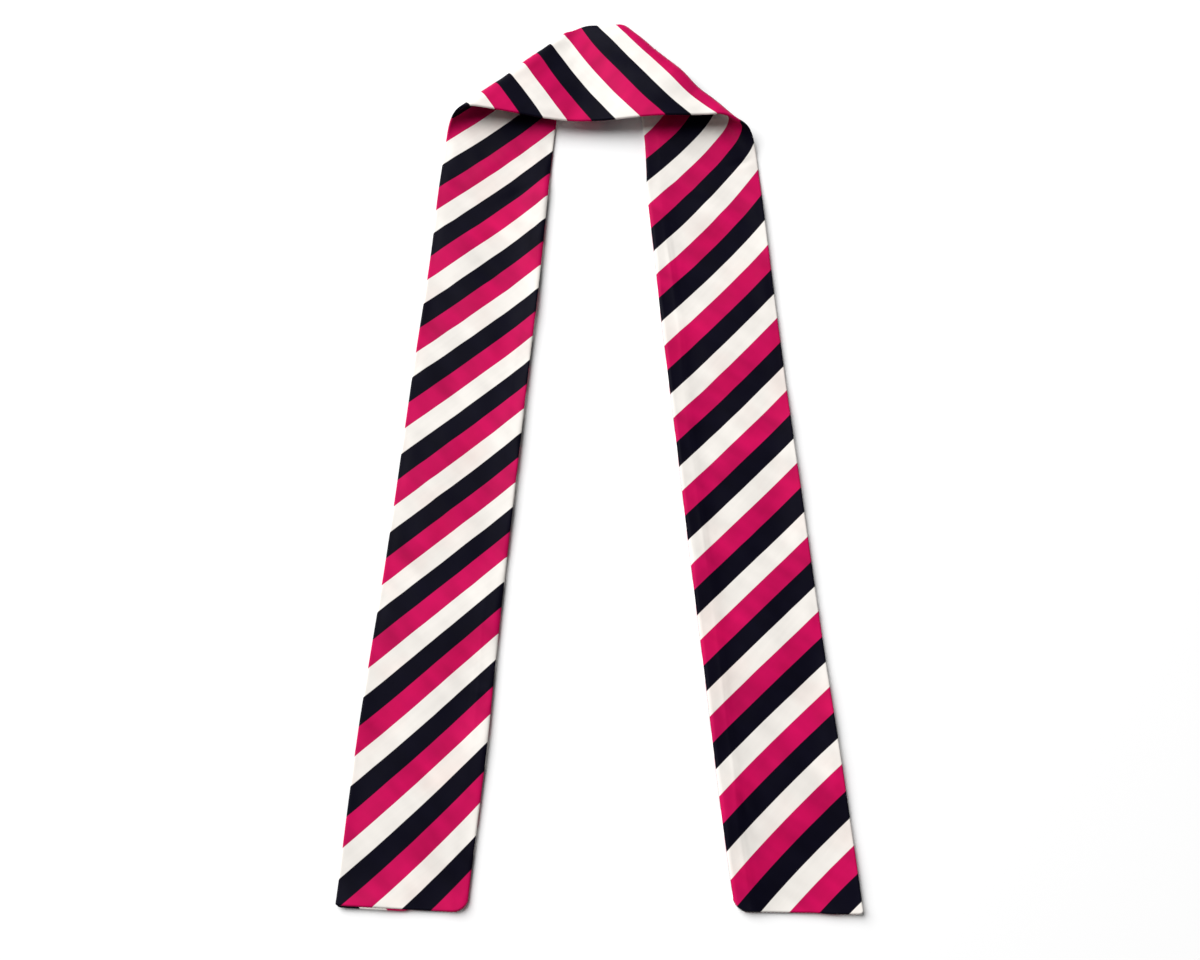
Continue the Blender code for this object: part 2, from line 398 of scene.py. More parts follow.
def smooth_noise(x, y, seed):
    """Value noise from -1 to 1 with one bump per unit, the same each run."""
    table = np.random.default_rng(seed).uniform(-1.0, 1.0, (256, 256))
    i, j = np.floor(x).astype(int), np.floor(y).astype(int)
    fx, fy = x - i, y - j
    fx = fx * fx * (3 - 2 * fx)
    fy = fy * fy * (3 - 2 * fy)
    i, j, k, m = i % 256, j % 256, (i + 1) % 256, (j + 1) % 256
    return ((table[i, j] * (1 - fx) + table[k, j] * fx) * (1 - fy)
            + (table[i, m] * (1 - fx) + table[k, m] * fx) * fy)


# %% Drags
DRAGS = np.array([
    # face  along  across  long  slant   deep  half_width
    (1.0,    34.0,  58.0,  52.0, 128.0, -0.42, 6.0),
    (1.0,    86.0,  30.0,  58.0, 134.0,  0.40, 7.5),
    (1.0,   132.0,  52.0,  60.0, 131.0, -0.46, 6.5),
    (1.0,   186.0,  34.0,  64.0, 136.0,  0.36, 8.0),
    (1.0,   236.0,  60.0,  50.0, 126.0, -0.36, 6.0),
    (1.0,   292.0,  36.0,  62.0, 138.0,  0.34, 8.5),
    (1.0,   352.0,  56.0,  54.0, 124.0, -0.34, 6.5),
    (1.0,   418.0,  30.0,  60.0, 134.0,  0.32, 8.0),
    (1.0,   470.0,  58.0,  46.0, 120.0, -0.36, 5.5),
    (1.0,   520.0,  22.0,  40.0, 100.0, -0.34, 5.0),
    (1.0,   548.0,  64.0,  36.0,  60.0, -0.42, 4.0),
    (1.0,   572.0,  40.0,  40.0,  48.0,  0.40, 5.0),
    (1.0,   150.0,  83.0,  12.0, 100.0, -0.34, 1.8),
    (1.0,   157.0,  82.0,  11.0,  84.0,  0.30, 1.6),
    (1.0,   404.0,  83.0,  12.0,  96.0, -0.30, 1.8),
    (1.0,   520.0,  83.0,  13.0,  88.0, -0.40, 2.0),
    (-1.0,  655.0,  34.0,  50.0,  20.0, -0.46, 7.0),
    (-1.0,  690.0,  58.0,  60.0,   8.0,  0.44, 8.0),
    (-1.0,  715.0,  30.0,  62.0,  -6.0, -0.46, 7.0),
    (-1.0,  748.0,  62.0,  56.0, -24.0, -0.44, 7.0),
    (-1.0,  770.0,  36.0,  64.0, -16.0,  0.42, 8.0),
    (-1.0,  806.0,  22.0,  46.0, -30.0, -0.40, 6.0),
    (-1.0,  700.0,  82.0,  22.0,   6.0, -0.30, 2.6),
    (-1.0,  742.0,  83.0,  20.0, -10.0, -0.36, 2.4),
    (1.0,   884.0,  10.0,  22.0,  80.0, -0.60, 2.6),
    (1.0,   900.0,  58.0,  44.0, 128.0, -0.50, 5.0),
    (1.0,   926.0,  36.0,  48.0, 136.0,  0.42, 6.5),
    (1.0,   968.0,  60.0,  40.0, 122.0, -0.36, 5.5),
    (1.0,  1018.0,  34.0,  58.0, 134.0,  0.36, 8.0),
    (1.0,  1076.0,  54.0,  56.0, 130.0, -0.38, 6.5),
    (1.0,  1136.0,  30.0,  62.0, 138.0,  0.36, 8.0),
    (1.0,  1186.0,  52.0,  50.0, 126.0, -0.36, 6.0),
    (1.0,  1246.0,  36.0,  60.0, 134.0,  0.36, 8.0),
    (1.0,  1302.0,  50.0,  52.0, 128.0, -0.40, 6.0),
    (1.0,  1356.0,  32.0,  56.0, 136.0,  0.40, 7.5),
    (1.0,  1412.0,  52.0,  48.0, 128.0, -0.42, 6.0),
    (1.0,  1385.0,  70.0,  18.0, 168.0, -0.46, 2.2),
    (1.0,  1378.0,  66.0,  16.0,  16.0,  0.34, 2.0),
    (-1.0,  160.0,  44.0,  54.0, 128.0, -0.20, 6.0),
    (-1.0,  380.0,  40.0,  50.0,  52.0, -0.20, 6.0),
    (-1.0, 1100.0,  46.0,  52.0,  58.0, -0.20, 6.0),
    (-1.0, 1330.0,  40.0,  50.0, 124.0, -0.20, 6.0),
])


def drags(face, u, v):
    """Soft uneven troughs and ridges of one face, in millimetres."""
    total = np.zeros_like(u)
    for side, along, across, long_, slant, deep, half in DRAGS:
        if side != face:
            continue
        c, s = unit(slant)
        p = (u - along) * c + (v - across) * s
        q = -(u - along) * s + (v - across) * c + 0.05 * long_ * np.sin(p / long_ * 2.4)
        total += deep * np.exp(-(q / half) ** 2) * np.exp(-(p / long_ * 1.9) ** 2)
    return total


print("drags placed:", len(DRAGS))

# %% Seam allowances and puffiness


ALLOWANCE = 11.0         # how far in from the seam the turned-in edges reach
RIGHT_TAIL_FROM = 860.0  # u where the right tail begins to show


def allowance(u, v):
    """The turned-in seam allowances: a low plateau along the seam with a crisp
    edge and a fainter line beside it, plainest on the right tail."""
    right = ease((u - RIGHT_TAIL_FROM) / 120.0)
    edge = WIDTH - ALLOWANCE + 1.7 * smooth_noise(u / 41.0, u * 0.0, 5)
    second = edge - 5.6 + 0.8 * smooth_noise(u / 33.0, u * 0.0 + 9.0, 6)
    uneven = 0.70 + 0.60 * smooth_noise(u / 37.0, u * 0.0 + 4.0, 7)
    plateau = (0.25 + 0.85 * right) * ease((v - edge + 14.0) / 15.0)
    crisp = (0.10 + 0.18 * right) * uneven * np.exp(-((v - edge) / 1.3) ** 2)
    faint = -(0.06 + 0.20 * right) * uneven * np.exp(-((v - second) / 1.5) ** 2)
    return plateau + crisp + faint


def relief(face, u, v):
    """Height added to a face; it fades to nothing at both edges."""
    puff = 0.60 * smooth_noise(u / 33.0 + 3.0 * face, v / 27.0, 11)
    puff += 0.42 * smooth_noise((u + v) / 15.0, (u - v) / 34.0 + 7.0 * face, 12)
    puff += 0.07 * smooth_noise(u / 6.5, v / 8.0 + 5.0 * face, 13)
    calm = ease(v / 9.0) * ease((WIDTH - v) / 3.0)
    step = ease((WIDTH - v) / 1.5) * allowance(u, v)
    return calm * (0.3 + puff + 1.7 * drags(face, u, v)) + step


def edge_lift(u, v):
    """How far the tails' edges and hems stand off the table, in millimetres."""
    right = ease((u - RIGHT_TAIL_FROM) / 60.0)
    high = ease((u - 220.0) / 160.0)
    seam_side = ((1.6 + 1.4 * high) * (1.0 - right) + 1.0 * right) \
        * np.clip((v - 62.0) / 26.0, 0.0, 1.0) ** 2
    fold_side = (0.5 + 1.8 * right) * np.clip((20.0 - v) / 20.0, 0.0, 1.0) ** 2
    sides = (seam_side + fold_side) * (0.8 + 0.3 * smooth_noise(u / 41.0, u * 0.0 + 2.0, 8))
    from_hem = np.minimum(u, LENGTH - u)
    hem = 2.6 * np.clip((26.0 - from_hem) / 26.0, 0.0, 1.0) ** 2 \
        * (0.85 + 0.25 * smooth_noise(v / 30.0, v * 0.0, 9))
    return (sides ** 3 + hem ** 3) ** (1.0 / 3.0)


proud = allowance(np.array([1200.0]), np.array([78.0]))
print("allowance stands", proud.round(2), "mm proud on the right tail")

# %% [markdown]
# ## The satin shell
#
# The tube is closed all round: up one layer from the folded edge, over the seam
# side, and back along the other layer, with a real wall of cloth and an inner face.
# Its points are worked out on a grid of rows along the strip and columns round it,
# closer together at the hems and the rolls. At the left hem the back layer comes
# about a millimetre further than the front one, as it does when a tube is pressed a
# little askew, and shows as a thin line of other colours below the front's edge.

# %% Rows along and columns across
FACE_HEIGHT = 1.15      # from the middle surface to each outer face of the tube
FINE_FROM, FINE_TO = 540.0, 905.0       # closer rows over the neck and its rolls
FINE_STEP, PLAIN_STEP = 1.8, 3.6


def row_stations():
    """Distances from the left hem for the straight rows, in millimetres."""
    rows = [HEM_BACK]
    while rows[-1] < LENGTH - HEM_BACK:
        fine = FINE_FROM < rows[-1] < FINE_TO
        rows.append(rows[-1] + (FINE_STEP if fine else PLAIN_STEP))
    rows[-1] = LENGTH - HEM_BACK
    return rows


# distances of the curved rows from each hem, and of the columns from the fold
HEM_STEPS = [0.0, 0.06, 0.22, 0.48, 0.80, 1.15, 1.7, 2.5, 3.6, 5.0, 6.8, 9.0, 11.6,
             14.6, 18.0, 21.8, 26.0, 30.2]
ACROSS = [2.2, 3.6, 5.6, 8.2] + list(np.linspace(11.4, 67.2, 17)) + \
         [69.6, 71.4, 72.8, 74.0, 75.0, 75.9, 76.7, 77.6, 78.8, 80.6, 82.8, 85.0, 86.6]


def rows_for(v):
    """Table of u for every row and every column position v."""
    rows = []
    for d in HEM_STEPS:
        keep = 1.0 - ease(np.array(d / HEM_BACK))
        rows.append(hem_line("left", v) * keep + d)
    for station in row_stations():
        rows.append(np.full_like(v, station))
    for d in reversed(HEM_STEPS):
        keep = 1.0 - ease(np.array(d / HEM_BACK))
        rows.append(LENGTH - hem_line("right", v) * keep - d)
    return np.array(rows)


def hem_pinch(count):
    """How open the tube is at each row: shut at both hems, rounded."""
    pinch = np.ones(count)
    for i, d in enumerate(HEM_STEPS):
        t = min(d / FACE_HEIGHT, 1.0)
        pinch[i] = pinch[-1 - i] = math.sqrt(max(1.0 - (1.0 - t) ** 2, 0.0))
    return pinch


# %% Outer face of the tube
FOLD_COLUMNS = 5
SEAM_COLUMNS = ((0.75, 0.96), (0.30, 0.80), (0.02, 0.52), (0.06, 0.26), (0.40, 0.06))


def tube_columns():
    """Columns of one face from the folded edge to the seam: v and height. They turn
    round the fold, run flat across, and tuck in to a groove at the seam."""
    turn = np.radians(np.linspace(180.0, 90.0, FOLD_COLUMNS))
    fold = [(FACE_HEIGHT * (1 + math.cos(a)), FACE_HEIGHT * math.sin(a)) for a in turn]
    flat = [(v, FACE_HEIGHT) for v in ACROSS]
    seam = [(WIDTH - inside, FACE_HEIGHT * high) for inside, high in SEAM_COLUMNS]
    return np.array(fold + flat + seam).T


PEEK = 1.1              # how far the back layer shows below the left hem
PEEK_ENDS = 44.0        # v where it begins to tuck in behind the front layer
PEEK_ROWS = 12          # rows from the hem that shift to make room for it
PEEK_PATH = np.array([
    # each row from the hem: out past the front layer and round to the underside
    # out    further  height
    (0.0,    0.0,   -0.70),
    (-0.55,  0.0,   -0.72),
    (-0.97,  0.0,   -0.74),
    (-1.0,  -0.05,  -0.84),
    (-1.0,   0.20,  -0.95),
    (-1.0,   0.75,  -1.00),
])


def back_layer_peeks(u, w, v, is_under):
    """Let the under face run out past the left hem over its outer half."""
    reach = PEEK * (1.0 - ease((v - PEEK_ENDS) / 10.0)) * ease(v / 3.0) * is_under
    share = reach / PEEK
    base = u[0].copy()
    for i, (out, further, height) in enumerate(PEEK_PATH):
        u[i] = (1 - share) * u[i] + share * (base + reach * out + further)
        w[i] = (1 - share) * w[i] + share * FACE_HEIGHT * height
    last = len(PEEK_PATH) - 1
    for i in range(last + 1, PEEK_ROWS):
        u[i] -= reach * (1.0 - (i - last) / (PEEK_ROWS - last))


ROLLED_FROM, ROLLED_TO = 540.0, 930.0   # between these the strip leaves the table


def tube_grid():
    """Points of the tube, row by row, columns from the seam over the upper face
    to the fold and back over the under face; the u of each point; and each column's
    signed v, which is below 0 on the under face."""
    v, high = tube_columns()
    v_all = np.concatenate([v[::-1], v[1:]])
    w_all = np.concatenate([high[::-1], -high[1:]])
    signed = np.concatenate([v[::-1], -v[1:]])
    u = rows_for(v_all)
    v_grid = np.broadcast_to(v_all, u.shape)
    open_ = hem_pinch(len(u))[:, None]
    w = w_all * open_ - 0.7 * FACE_HEIGHT * (1.0 - open_)
    back_layer_peeks(u, w, v_all, signed < 0.0)
    near_hem = ease(np.minimum(u, LENGTH - u) / 6.0)
    up = relief(1.0, u, v_grid) * near_hem
    under = relief(-1.0, u, v_grid) * near_hem
    on_table = 1.0 - ease((u - ROLLED_FROM) / 40.0) * ease((ROLLED_TO - u) / 40.0)
    under = under * (1 - on_table) + np.clip(under - 0.45, -0.3, 0.0) * on_table
    share = np.clip(w / FACE_HEIGHT, -1.0, 1.0)
    w = w + np.where(share > 0, up * share, under * share)
    w = w + edge_lift(u, v_grid) * on_table
    point = mid_surface(u, v_grid) + w[..., None] * surface_normal(u, v_grid)
    point[..., 2] = np.maximum(point[..., 2], ON_TABLE)
    return point * MM + np.array(TO_CENTRE), u, signed


outer, outer_u, outer_v = tube_grid()
print("outer grid", outer.shape[:2])

# %% Sew the grid into one mesh


def tube_faces(rows, columns):
    """Faces round the tube as lists of (row, column) corners. The column of the
    seam's gap closes on the first one, and both hems are shut by letting the
    under face share the upper face's points there."""
    shut = {0, rows - 1}
    faces = []
    for i in range(rows - 1):
        for j in range(columns):
            k = (j + 1) % columns
            corners = [(i, j), (i + 1, j), (i + 1, k), (i, k)]
            points = [r * columns + (min(c, columns - 1 - c) if r in shut else c)
                      for r, c in corners]
            keep = [n for n in range(4) if points[n] not in points[:n]]
            if len(keep) > 2:
                faces.append(([points[n] for n in keep], [corners[n] for n in keep], j))
    return faces


def build_scarf(name):
    """One closed mesh with two UV maps: the stripe count and the cloth's own grain."""
    rows, columns = outer.shape[:2]
    faces = tube_faces(rows, columns)
    used = sorted({p for face in faces for p in face[0]})
    number = {p: k for k, p in enumerate(used)}
    points = outer.reshape(-1, 3)[used]
    a, b, c = (points[[number[f[0][k]] for f in faces]] for k in range(3))
    outward = float(np.einsum("ij,ij->i", a, np.cross(b, c)).sum()) > 0.0
    if not outward:
        faces = [(f[0][::-1], f[1][::-1], f[2]) for f in faces]
    print("faces point", "outward" if outward else "inward, turned round")
    mesh = bpy.data.meshes.new(name)
    mesh.from_pydata(points.tolist(), [], [[number[p] for p in f[0]] for f in faces])
    signed = np.broadcast_to(outer_v, outer_u.shape)
    # the fold's own column belongs to the upper face, hence the nudge
    stripe = stripe_count(outer_u, signed + 1e-6)
    # faces across the seam's gap keep the pattern of its upper edge
    spots = [(r, 0 if f[2] == columns - 1 else c) for f in faces for r, c in f[1]]
    r, c = np.array(spots).T
    cloth = mesh.uv_layers.new(name="stripes")
    grain = mesh.uv_layers.new(name="grain")
    cloth.data.foreach_set("uv", np.stack([stripe[r, c], signed[r, c] / WIDTH], 1).ravel())
    grain.data.foreach_set("uv", (np.stack([outer_u[r, c], signed[r, c]], 1) * MM).ravel())
    mesh.validate()
    mesh.shade_smooth()
    obj = bpy.data.objects.new(name, mesh)
    bpy.context.scene.collection.objects.link(obj)
    return obj


CLOTH_WALL = 0.0003     # metres
scarf = build_scarf("striped_satin_scarf")
wall = scarf.modifiers.new("cloth_wall", "SOLIDIFY")
wall.thickness = CLOTH_WALL
wall.offset = -1.0
print("scarf faces", len(scarf.data.polygons), "and as many again for the wall's inside")

# %% [markdown]
# ## The satin
#
# Satin shows long smooth floats of yarn, so it has a soft sheen and almost no
# visible weave. The colour comes from the stripe count; two groups add what is
# shared by all three colours: the fine yarns, and the drift in tone, as random
# patches and as long soft bands of painted sheen and shade across the stripes.
# Both are read from the cloth's own grain map, in metres, so they follow it round
# every roll. The dyed yarns show the light and dark drift, painted sheen included,
# plainly and the ivory hardly at all, but the ivory shows the warm patches, as if
# a little of the pink had rubbed off on it.

# %% Yarn group


def new_group(name, inputs, outputs):
    """An empty shader group with its sockets."""
    group = bpy.data.node_groups.new(name, "ShaderNodeTree")
    for label, kind, value in inputs:
        socket = group.interface.new_socket(label, in_out="INPUT", socket_type=kind)
        if value is not None:
            socket.default_value = value
    for label, kind in outputs:
        group.interface.new_socket(label, in_out="OUTPUT", socket_type=kind)
    nodes = group.nodes
    return group, nodes, group.links, nodes.new("NodeGroupInput"), \
        nodes.new("NodeGroupOutput")


def math_node(nodes, links, operation, *values, clamp=False):
    """One sum; each value is a number or a socket."""
    node = nodes.new("ShaderNodeMath")
    node.operation = operation
    node.use_clamp = clamp
    for socket, value in zip(node.inputs, values):
        if isinstance(value, (int, float)):
            socket.default_value = value
        else:
            links.new(value, socket)
    return node.outputs[0]


def noise_node(nodes, links, place, detail, scale=1.0, roughness=0.5):
    """A smooth noise, read at a place."""
    noise = nodes.new("ShaderNodeTexNoise")
    noise.inputs["Scale"].default_value = scale
    noise.inputs["Detail"].default_value = detail
    noise.inputs["Roughness"].default_value = roughness
    links.new(place, noise.inputs["Vector"])
    return noise


def turned_grain(nodes, links, grain, degrees):
    """The grain map's two lengths, along a direction and across it."""
    turn = nodes.new("ShaderNodeVectorRotate")
    turn.rotation_type = "Z_AXIS"
    turn.inputs["Angle"].default_value = math.radians(-degrees)
    links.new(grain, turn.inputs["Vector"])
    split = nodes.new("ShaderNodeSeparateXYZ")
    links.new(turn.outputs["Vector"], split.inputs[0])
    return split.outputs["X"], split.outputs["Y"]


def flat_place(nodes, links, x, y):
    """Two lengths as one place."""
    place = nodes.new("ShaderNodeCombineXYZ")
    links.new(x, place.inputs["X"])
    links.new(y, place.inputs["Y"])
    return place.outputs[0]


YARN_TURN = 45.0      # degrees between the strip and the yarns
# the bands are painted sheen and shade in the base colour
SHEEN_BAND_TURN = 131.0     # degrees between the strip and the bands of drift
FULL_TURN = 6.2832


def satin_yarn_group():
    """Fine floats of the weave: streaks along the yarn and a height for bump."""
    group, nodes, links, into, out = new_group(
        "satin_yarns",
        [("Grain", "NodeSocketVector", None),
         ("Yarns per metre", "NodeSocketFloat", 2600.0),
         ("Float length", "NodeSocketFloat", 0.004)],
        [("Streaks", "NodeSocketFloat"), ("Height", "NodeSocketFloat")])
    x, y = turned_grain(nodes, links, into.outputs["Grain"], YARN_TURN)
    run = math_node(nodes, links, "DIVIDE", x, into.outputs["Float length"])
    across = math_node(nodes, links, "MULTIPLY", y, into.outputs["Yarns per metre"])
    place = flat_place(nodes, links, run, across)
    noise = noise_node(nodes, links, place, detail=2.0)
    slow = noise_node(nodes, links, place, detail=3.0, scale=0.09)
    turns = math_node(nodes, links, "MULTIPLY", across, FULL_TURN)
    ridge = math_node(nodes, links, "SINE", turns)
    ridge = math_node(nodes, links, "MULTIPLY", ridge, 0.25)
    height = math_node(nodes, links, "ADD", ridge, noise.outputs["Fac"])
    links.new(slow.outputs["Fac"], out.inputs["Streaks"])
    links.new(height, out.inputs["Height"])
    return group


def tone_group():
    """Slow warm and cool drift of the cloth, and long bands of painted sheen and shade, as
    values round 0.
    """
    group, nodes, links, into, out = new_group(
        "cloth_tone_and_painted_sheen",
        [("Grain", "NodeSocketVector", None),
         ("Patches per metre", "NodeSocketFloat", 24.0),
         ("Band length", "NodeSocketFloat", 0.046),
         ("Band width", "NodeSocketFloat", 0.013)],
        [("Tone", "NodeSocketFloat"), ("Warmth", "NodeSocketFloat"),
         ("Painted sheen bands", "NodeSocketFloat")])
    for label, shift in (("Tone", 0.0), ("Warmth", 7.3)):
        add = nodes.new("ShaderNodeVectorMath")
        add.operation = "ADD"
        add.inputs[1].default_value = (shift, shift * 0.7, shift * 1.3)
        links.new(into.outputs["Grain"], add.inputs[0])
        noise = noise_node(nodes, links, add.outputs[0], detail=2.5, roughness=0.45)
        links.new(into.outputs["Patches per metre"], noise.inputs["Scale"])
        links.new(math_node(nodes, links, "SUBTRACT", noise.outputs["Fac"], 0.5),
                  out.inputs[label])
    # bands across the stripes: painted sheen and shade, put into the base colour
    x, y = turned_grain(nodes, links, into.outputs["Grain"], SHEEN_BAND_TURN)
    place = flat_place(nodes, links,
                       math_node(nodes, links, "DIVIDE", x, into.outputs["Band length"]),
                       math_node(nodes, links, "DIVIDE", y, into.outputs["Band width"]))
    noise = noise_node(nodes, links, place, detail=1.5, roughness=0.4)
    links.new(math_node(nodes, links, "SUBTRACT", noise.outputs["Fac"], 0.5),
              out.inputs["Painted sheen bands"])
    return group


YARNS, TONE = satin_yarn_group(), tone_group()
print("groups", YARNS.name, TONE.name)

# %% Striped satin
MAGENTA = (0.520, 0.0038, 0.085)
NAVY = (0.0030, 0.0026, 0.0082)
IVORY = (0.830, 0.794, 0.748)
# how plainly each stripe shows the light and dark drift of random tone and painted sheen
# and shade
TONE_AND_SHEEN_SHOWS = {"magenta": 0.85, "navy": 1.0, "ivory": 0.30}
# the bands are painted sheen and shade; the patches are random tone
PATCHES, PAINTED_SHEEN_BANDS, STREAKS = 0.50, 0.80, 0.10      # how deep each kind of drift goes
WARM_TINT, WARMTH = (1.0, 0.875, 0.865), 2.6
EDGE_WOBBLE = 0.010     # of a repeat, as the yarns step along a stripe's edge
EDGE_BLEND = 0.003      # of a repeat, on either side of it


def striped_satin(name):
    """Three stripes to a repeat, with the yarns' sheen and the drift in tone."""
    material = bpy.data.materials.new(name)
    material.use_nodes = True
    nodes, links = material.node_tree.nodes, material.node_tree.links
    shader = nodes["Principled BSDF"]

    def group(tree):
        node = nodes.new("ShaderNodeGroup")
        node.node_tree = tree
        links.new(grain.outputs["UV"], node.inputs["Grain"])
        return node

    grain = nodes.new("ShaderNodeUVMap")
    grain.uv_map = "grain"
    count = nodes.new("ShaderNodeUVMap")
    count.uv_map = "stripes"
    split = nodes.new("ShaderNodeSeparateXYZ")
    links.new(count.outputs["UV"], split.inputs[0])
    yarns, tone = group(YARNS), group(TONE)
    streaks = math_node(nodes, links, "SUBTRACT", yarns.outputs["Streaks"], 0.5)
    wobble = math_node(nodes, links, "MULTIPLY", streaks, EDGE_WOBBLE)
    repeat = math_node(nodes, links, "FRACT",
                       math_node(nodes, links, "ADD", split.outputs["X"], wobble))
    ramp = nodes.new("ShaderNodeValToRGB")
    stops = ramp.color_ramp.elements
    soft = EDGE_BLEND
    marks = [(0.0, MAGENTA), (1 / 3 - soft, MAGENTA), (1 / 3 + soft, NAVY),
             (2 / 3 - soft, NAVY), (2 / 3 + soft, IVORY), (1.0 - 2 * soft, IVORY),
             (1.0, MAGENTA)]
    stops[0].position, stops[0].color = marks[0][0], (*marks[0][1], 1)
    stops[1].position, stops[1].color = marks[-1][0], (*marks[-1][1], 1)
    for position, colour in marks[1:-1]:
        stop = stops.new(position)
        stop.color = (*colour, 1)
    links.new(repeat, ramp.inputs["Fac"])
    # light and dark drift: random tone patches plus bands of painted sheen and shade
    shows = nodes.new("ShaderNodeValToRGB")
    shows.color_ramp.interpolation = "CONSTANT"
    steps = shows.color_ramp.elements
    steps[0].position, steps[0].color = 0.0, (*[TONE_AND_SHEEN_SHOWS["magenta"]] * 3, 1)
    steps[1].position, steps[1].color = 1 / 3, (*[TONE_AND_SHEEN_SHOWS["navy"]] * 3, 1)
    steps.new(2 / 3).color = (*[TONE_AND_SHEEN_SHOWS["ivory"]] * 3, 1)
    links.new(repeat, shows.inputs["Fac"])
    tone_and_painted_sheen = math_node(nodes, links, "ADD",
                      math_node(nodes, links, "MULTIPLY", tone.outputs["Tone"], PATCHES),
                      math_node(nodes, links, "MULTIPLY", tone.outputs["Painted sheen bands"], PAINTED_SHEEN_BANDS))
    tone_and_painted_sheen = math_node(nodes, links, "MULTIPLY", tone_and_painted_sheen, shows.outputs["Color"])
    tone_and_painted_sheen = math_node(nodes, links, "ADD", tone_and_painted_sheen,
                      math_node(nodes, links, "MULTIPLY", streaks, STREAKS))
    level = math_node(nodes, links, "ADD", 1.0, tone_and_painted_sheen)
    # warm patches, which multiply the stripe's colour
    warm = nodes.new("ShaderNodeMix")
    warm.data_type = "RGBA"
    warm.blend_type = "MULTIPLY"
    warm.inputs["A"].default_value = (1, 1, 1, 1)
    warm.inputs["B"].default_value = (*WARM_TINT, 1)
    warmth = math_node(nodes, links, "MULTIPLY", tone.outputs["Warmth"], WARMTH, clamp=True)
    links.new(warmth, warm.inputs["Factor"])
    tinted = nodes.new("ShaderNodeVectorMath")
    tinted.operation = "MULTIPLY"
    links.new(ramp.outputs["Color"], tinted.inputs[0])
    links.new(warm.outputs["Result"], tinted.inputs[1])
    scaled = nodes.new("ShaderNodeVectorMath")
    scaled.operation = "SCALE"
    links.new(tinted.outputs[0], scaled.inputs[0])
    links.new(level, scaled.inputs["Scale"])
    links.new(scaled.outputs[0], shader.inputs["Base Color"])
    rough = math_node(nodes, links, "ADD", 0.40,
                      math_node(nodes, links, "MULTIPLY", yarns.outputs["Streaks"], 0.12))
    links.new(rough, shader.inputs["Roughness"])
    shader.inputs["Specular IOR Level"].default_value = 0.035
    shader.inputs["Sheen Weight"].default_value = 0.02
    shader.inputs["Sheen Roughness"].default_value = 0.4
    bump = nodes.new("ShaderNodeBump")
    bump.inputs["Strength"].default_value = 0.25
    bump.inputs["Distance"].default_value = 0.00004
    links.new(yarns.outputs["Height"], bump.inputs["Height"])
    links.new(bump.outputs["Normal"], shader.inputs["Normal"])
    return material


scarf.data.materials.append(striped_satin("striped_satin"))
print("material", scarf.data.materials[0].name)

# %% [markdown]
# ## Stitches
#
# The long edge and both hems are closed with small even stitches that lie in the
# groove between the two layers. A stitch is a slim bead of thread. Some six hundred
# of them follow one path, so Geometry Nodes set them: the path becomes a curve, is
# cut into even steps, and each step gets a bead turned along the seam. The path's
# points carry the two directions that the bead needs, along the seam and out of it.

# %% The seam's path
HEM_ROWS = 7            # rows from each hem that the long seam leaves free
BEHIND_SEAM = 6         # a column on the flat, which tells where the seam's inside is
BEHIND_HEM = 12         # a row on the flat, likewise for the hems
THREAD_SUNK = 0.00004   # metres that the thread sits back into the groove


def stitch_path():
    """Seam and hem lines as one edge mesh with two directions on its points."""
    columns = outer.shape[1]
    seam = 0.5 * (outer[:, 0] + outer[:, -1])
    inside = 0.5 * (outer[:, BEHIND_SEAM] + outer[:, -1 - BEHIND_SEAM])
    free = slice(HEM_ROWS, -HEM_ROWS)
    runs = [(seam[free], inside[free])]
    across = slice(8, columns // 2 - 5)     # the hems between their rounded corners
    runs += [(outer[0, across], outer[BEHIND_HEM, across]),
             (outer[-1, across], outer[-1 - BEHIND_HEM, across])]
    points, edges, along, outward = [], [], [], []
    for line, behind in runs:
        start = len(points)
        ahead = np.gradient(line, axis=0)
        ahead /= np.linalg.norm(ahead, axis=1, keepdims=True)
        out = line - behind
        out -= (out * ahead).sum(1, keepdims=True) * ahead
        out /= np.linalg.norm(out, axis=1, keepdims=True)
        points += (line - THREAD_SUNK * out).tolist()
        along += ahead.tolist()
        outward += out.tolist()
        edges += [(k, k + 1) for k in range(start, len(points) - 1)]
    mesh = bpy.data.meshes.new("stitch_path")
    mesh.from_pydata(points, edges, [])
    for label, values in (("thread_along", along), ("thread_out", outward)):
        attribute = mesh.attributes.new(label, "FLOAT_VECTOR", "POINT")
        attribute.data.foreach_set("vector", np.array(values).ravel())
    path = bpy.data.objects.new("stitch_path", mesh)
    bpy.context.scene.collection.objects.link(path)
    return path


stitch_line = stitch_path()
print("seam path points", len(stitch_line.data.vertices))

# %% Stitching tree
STITCH_SIZES = {"Spacing": 0.0026, "Stitch length": 0.0019,
                "Thread thickness": 0.00034}     # metres
BEAD_SEGMENTS, BEAD_RINGS = 6, 5


